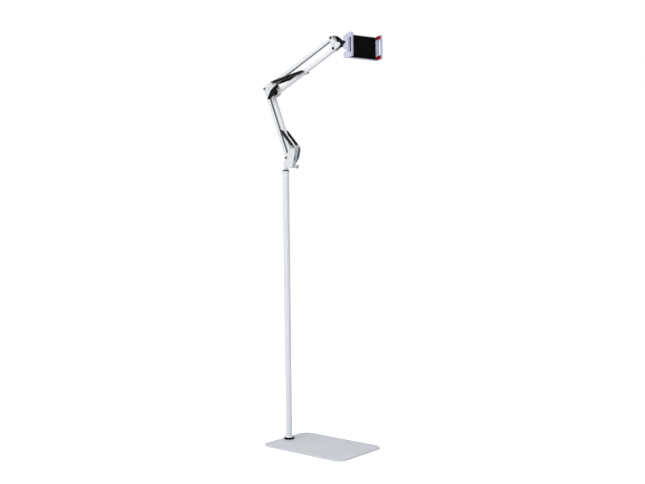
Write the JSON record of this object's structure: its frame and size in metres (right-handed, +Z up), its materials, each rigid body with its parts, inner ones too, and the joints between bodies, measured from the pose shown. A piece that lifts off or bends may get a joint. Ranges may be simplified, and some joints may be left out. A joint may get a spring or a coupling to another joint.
{
  "type": "tablet floor stand",
  "caption": "Floor stand for a tablet: flat base, sectional pole and a spring-balanced two-part parallelogram arm with a ball-jointed, sprung clamp holder.",
  "frame": {"origin": "pole axis at the floor, on the underside of the floor pad", "axes": "+Z up along the pole, +X from the pole towards the front of the base, where the arm reaches, +Y to the left of someone who looks along +X"},
  "size_m": [0.4913, 0.23, 1.3826],
  "materials": {
    "floor_rubber": "matt",
    "grey_paint": "satin",
    "white_paint": "satin",
    "steel": "bright zinc",
    "dark_steel": "black oxide",
    "black_plastic": "gloss",
    "inner_plastic": "matt",
    "grey_plastic": "satin",
    "holder_plastic": "satin",
    "black_foam": "matt",
    "red_rubber": "matt"
  },
  "bodies": {
    "stand": {"floor_pad": "floor_rubber", "base_plate": "grey_paint", "base_screw": "steel", "foot_collar": "black_plastic", "foot_flare": "white_paint", "pole_foot_plug": "inner_plastic", "pole_lower": "white_paint", "pole_middle": "white_paint", "pole_upper": "white_paint", "pole_couplings": "steel", "pole_top_plug": "inner_plastic", "pole_top_ring": "black_plastic", "pivot_washer": "grey_plastic", "pivot_post": "steel"},
    "bracket": {"swivel_block": "white_paint", "bracket_cheek_near": "white_paint", "bracket_cheek_far": "white_paint", "bracket_rivets": "steel", "bracket_bolt": "dark_steel", "lower_knob_bolt": "steel", "bracket_spring_pins": "steel", "lower_springs": "steel"},
    "lock_screw": {"lock_screw": "steel"},
    "lower_knob": {"lower_knob": "black_plastic"},
    "lower_arm": {"lower_arm_tube": "white_paint", "lower_arm_plugs": "inner_plastic", "lower_cross_pin": "steel"},
    "rear_link": {"lower_rear_link": "white_paint"},
    "elbow": {"elbow_plate_near": "white_paint", "elbow_plate_far": "white_paint", "elbow_rear_bolt": "dark_steel", "elbow_rivet": "steel", "elbow_spring_bolt": "steel", "elbow_knob_bolt": "steel", "upper_springs": "steel"},
    "elbow_knob": {"elbow_knob": "black_plastic"},
    "upper_arm": {"upper_arm_tube": "white_paint", "upper_arm_plugs": "inner_plastic", "upper_cross_pin": "steel"},
    "top_link": {"upper_top_link": "white_paint"},
    "head": {"head_plate_near": "white_paint", "head_plate_far": "white_paint", "head_bolt": "dark_steel", "tilt_rivet": "steel", "head_knob_bolt": "dark_steel"},
    "head_knob": {"head_knob": "black_plastic"},
    "knuckle": {"tilt_knuckle": "black_plastic", "ball_stud": "steel"},
    "ball_liner": {"ball_liner": "grey_plastic"},
    "ball_socket": {"ball_socket": "black_plastic", "swivel_screw": "steel"},
    "ring_nut": {"ring_nut": "black_plastic"},
    "holder": {"holder_housing": "holder_plastic", "holder_pad": "black_foam", "fixed_jaw": "holder_plastic", "fixed_jaw_pads": "red_rubber", "clamp_spring": "steel"},
    "sliding_jaw": {"sliding_jaw": "holder_plastic", "sliding_jaw_pads": "red_rubber", "guide_rods": "steel"}
  },
  "joints": [
    {"name": "arm_swivel", "type": "hinge", "parent": "stand", "child": "bracket", "pos_m": [0, 0, 0.95], "axis": [0, 0, 1], "continuous": true},
    {"name": "lock_screw_turn", "type": "hinge", "parent": "bracket", "child": "lock_screw", "pos_m": [0.042, 0, 0.956], "axis": [0.9397, 0, -0.342], "range_deg": [-180, 180]},
    {"name": "lower_knob_turn", "type": "hinge", "parent": "bracket", "child": "lower_knob", "pos_m": [0.031, 0, 0.99], "axis": [0, 1, 0], "range_deg": [0, 180]},
    {"name": "lower_arm_lean", "type": "hinge", "parent": "bracket", "child": "lower_arm", "pos_m": [0.031, 0, 0.99], "axis": [0, 1, 0], "range_deg": [-12, 62], "deforming": ["lower_springs"]},
    {"name": "rear_link_lean", "type": "hinge", "parent": "bracket", "child": "rear_link", "pos_m": [0.01, 0, 0.986], "axis": [0, 1, 0], "range_deg": [-12, 62]},
    {"name": "elbow_level", "type": "hinge", "parent": "lower_arm", "child": "elbow", "pos_m": [-0.06883, 0, 1.24087], "axis": [0, 1, 0], "range_deg": [-62, 12]},
    {"name": "elbow_knob_turn", "type": "hinge", "parent": "elbow", "child": "elbow_knob", "pos_m": [-0.03583, 0, 1.21687], "axis": [0, 1, 0], "range_deg": [0, 180]},
    {"name": "upper_arm_rise", "type": "hinge", "parent": "elbow", "child": "upper_arm", "pos_m": [-0.03583, 0, 1.21687], "axis": [0, 1, 0], "range_deg": [-45, 57], "deforming": ["upper_springs"]},
    {"name": "top_link_rise", "type": "hinge", "parent": "elbow", "child": "top_link", "pos_m": [-0.04683, 0, 1.25387], "axis": [0, 1, 0], "range_deg": [-45, 57]},
    {"name": "head_level", "type": "hinge", "parent": "upper_arm", "child": "head", "pos_m": [0.22796, 0, 1.32993], "axis": [0, 1, 0], "range_deg": [-57, 45]},
    {"name": "head_knob_turn", "type": "hinge", "parent": "head", "child": "head_knob", "pos_m": [0.21696, 0, 1.36693], "axis": [0, 1, 0], "range_deg": [0, 180]},
    {"name": "head_tilt", "type": "hinge", "parent": "head", "child": "knuckle", "pos_m": [0.22796, 0, 1.34793], "axis": [0, 1, 0], "range_deg": [-60, 5]},
    {"name": "ball_tilt", "type": "hinge", "parent": "knuckle", "child": "ball_liner", "pos_m": [0.30676, 0, 1.32943], "axis": [0, 1, 0], "range_deg": [-5, 58]},
    {"name": "ball_pan", "type": "hinge", "parent": "ball_liner", "child": "ball_socket", "pos_m": [0.30676, 0, 1.32943], "axis": [0, 0, 1], "range_deg": [-5, 47]},
    {"name": "ring_nut_turn", "type": "hinge", "parent": "ball_socket", "child": "ring_nut", "pos_m": [0.30676, 0, 1.32943], "axis": [0.9323, -0.3616, 0], "continuous": true},
    {"name": "holder_turn", "type": "hinge", "parent": "ball_socket", "child": "holder", "pos_m": [0.30676, 0, 1.32943], "axis": [0.9323, -0.3616, 0], "continuous": true},
    {"name": "jaw_slide", "type": "slide", "parent": "holder", "child": "sliding_jaw", "axis": [0.3616, 0.9323, 0], "range_m": [0, 0.08], "deforming": ["clamp_spring"]}
  ],
  "couplings": [
    {"joint": "rear_link_lean", "follows": "lower_arm_lean", "ratio": 1},
    {"joint": "elbow_level", "follows": "lower_arm_lean", "ratio": -1},
    {"joint": "top_link_rise", "follows": "upper_arm_rise", "ratio": 1},
    {"joint": "head_level", "follows": "upper_arm_rise", "ratio": -1}
  ]
}
